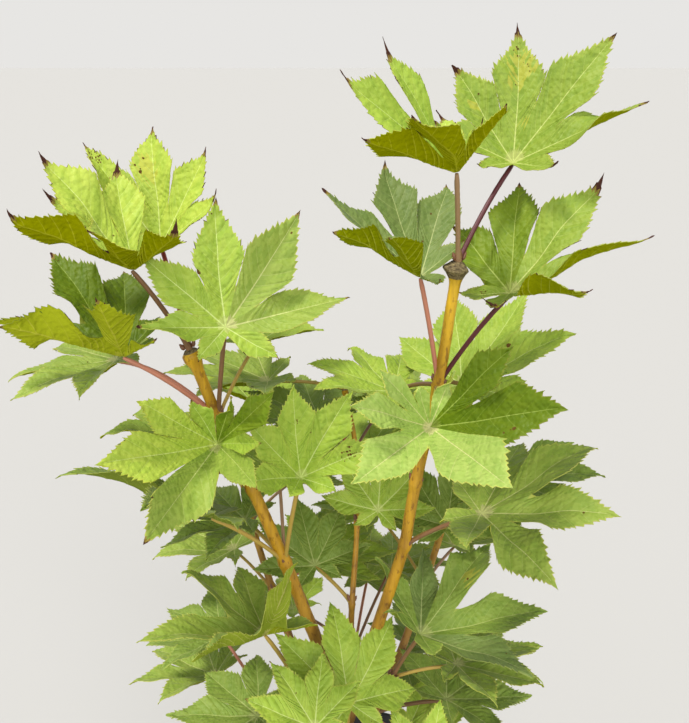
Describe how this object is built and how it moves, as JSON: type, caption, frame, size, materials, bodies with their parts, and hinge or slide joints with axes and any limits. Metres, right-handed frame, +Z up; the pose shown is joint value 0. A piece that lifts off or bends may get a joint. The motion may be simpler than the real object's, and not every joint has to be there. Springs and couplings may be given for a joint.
{
  "type": "potted siebolds maple",
  "caption": "Young maple in a plain black nursery pot, with forked stems and paired lobed leaves on long stalks, for garden and patio scenes.",
  "frame": {"origin": "middle of the pot's flat underside", "axes": "+Z up along the pot's axis, +X to the plant's right as the picture sees it, +Y away from the viewer"},
  "size_m": [0.2346, 0.21, 0.5301],
  "materials": {
    "pot": "satin moulded black plastic",
    "soil": "coarse bark-based potting soil",
    "bark": "smooth young bark, satin",
    "leaf": "thin soft leaf, slightly glossy on top"
  },
  "bodies": {
    "root": {"pot": "pot", "soil": "soil", "trunk": "bark", "bough_left": "bark", "bough_right": "bark", "bough_back": "bark", "bough_far_left": "bark", "bough_far_right": "bark", "crown_left": "leaf", "crown_right": "leaf", "crown_back": "leaf", "far_left": "leaf", "far_right": "leaf", "low_left": "leaf", "low_front": "leaf", "low_right": "leaf", "low_back": "leaf", "low_far_left": "leaf", "low_far_right": "leaf"}
  },
  "joints": []
}
